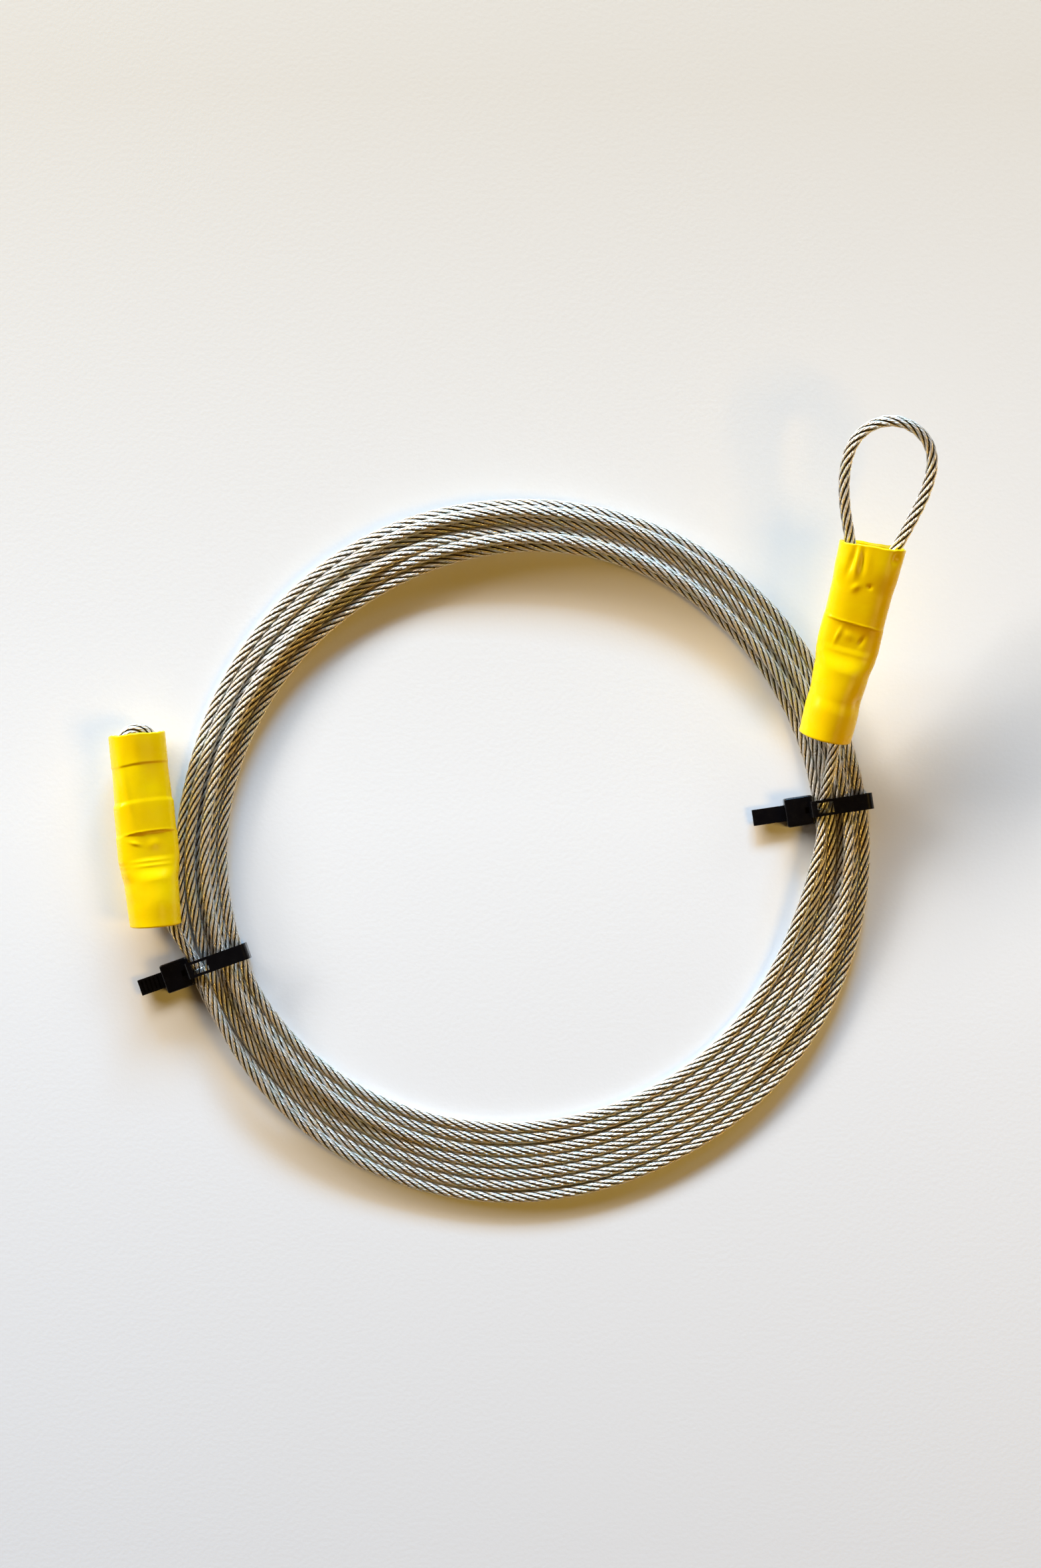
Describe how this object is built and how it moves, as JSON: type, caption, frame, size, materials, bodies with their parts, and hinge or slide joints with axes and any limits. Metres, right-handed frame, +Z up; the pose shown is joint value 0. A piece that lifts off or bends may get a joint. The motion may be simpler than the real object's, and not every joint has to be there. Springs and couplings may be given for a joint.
{
  "type": "wire rope sling",
  "caption": "Thin steel wire rope sling wound into a flat round coil, a ferruled soft eye in yellow heat-shrink at each end, held by cable ties.",
  "frame": {"origin": "bottom centre of the whole sling's box, on the surface that the coil lies on", "axes": "+Z up, square to the coil; +Y the way the right-hand eye points, roughly; +X to the right, from one end of the sling to the other"},
  "size_m": [0.2236, 0.2134, 0.0315],
  "materials": {
    "galvanised_wire": "bright drawn zinc-coated wire, glossy",
    "ferrule_aluminium": "pressed aluminium, satin",
    "yellow_tube": "heat-shrunk polyolefin, glossy",
    "black_nylon": "moulded nylon, semi-gloss"
  },
  "bodies": {
    "coil": {"rope_coil": "galvanised_wire"},
    "right_end": {"rope_end_right": "galvanised_wire", "ferrule_right": "ferrule_aluminium", "shrink_tube_right": "yellow_tube"},
    "left_end": {"rope_end_left": "galvanised_wire", "ferrule_left": "ferrule_aluminium", "shrink_tube_left": "yellow_tube"},
    "right_tie": {"cable_tie_right": "black_nylon"},
    "left_tie": {"cable_tie_left": "black_nylon"}
  },
  "joints": [
    {"name": "right_end_bend", "type": "hinge", "parent": "coil", "child": "right_end", "pos_m": [0.08401, 0.00875, 0.0075], "axis": [0, 0, 1], "range_deg": [-15, 15], "stiffness_Nm_per_rad": 0.3},
    {"name": "left_end_bend", "type": "hinge", "parent": "coil", "child": "left_end", "pos_m": [-0.09159, -0.03545, 0.0046], "axis": [0, 0, 1], "range_deg": [0, 20], "stiffness_Nm_per_rad": 0.3},
    {"name": "right_tie_slide", "type": "hinge", "parent": "coil", "child": "right_tie", "pos_m": [0.00111, -0.01025, 0], "axis": [0, 0, 1], "range_deg": [-2.5, 1]},
    {"name": "left_tie_slide", "type": "hinge", "parent": "coil", "child": "left_tie", "pos_m": [0.00111, -0.01025, 0], "axis": [0, 0, 1], "range_deg": [-1, 2.5]}
  ]
}
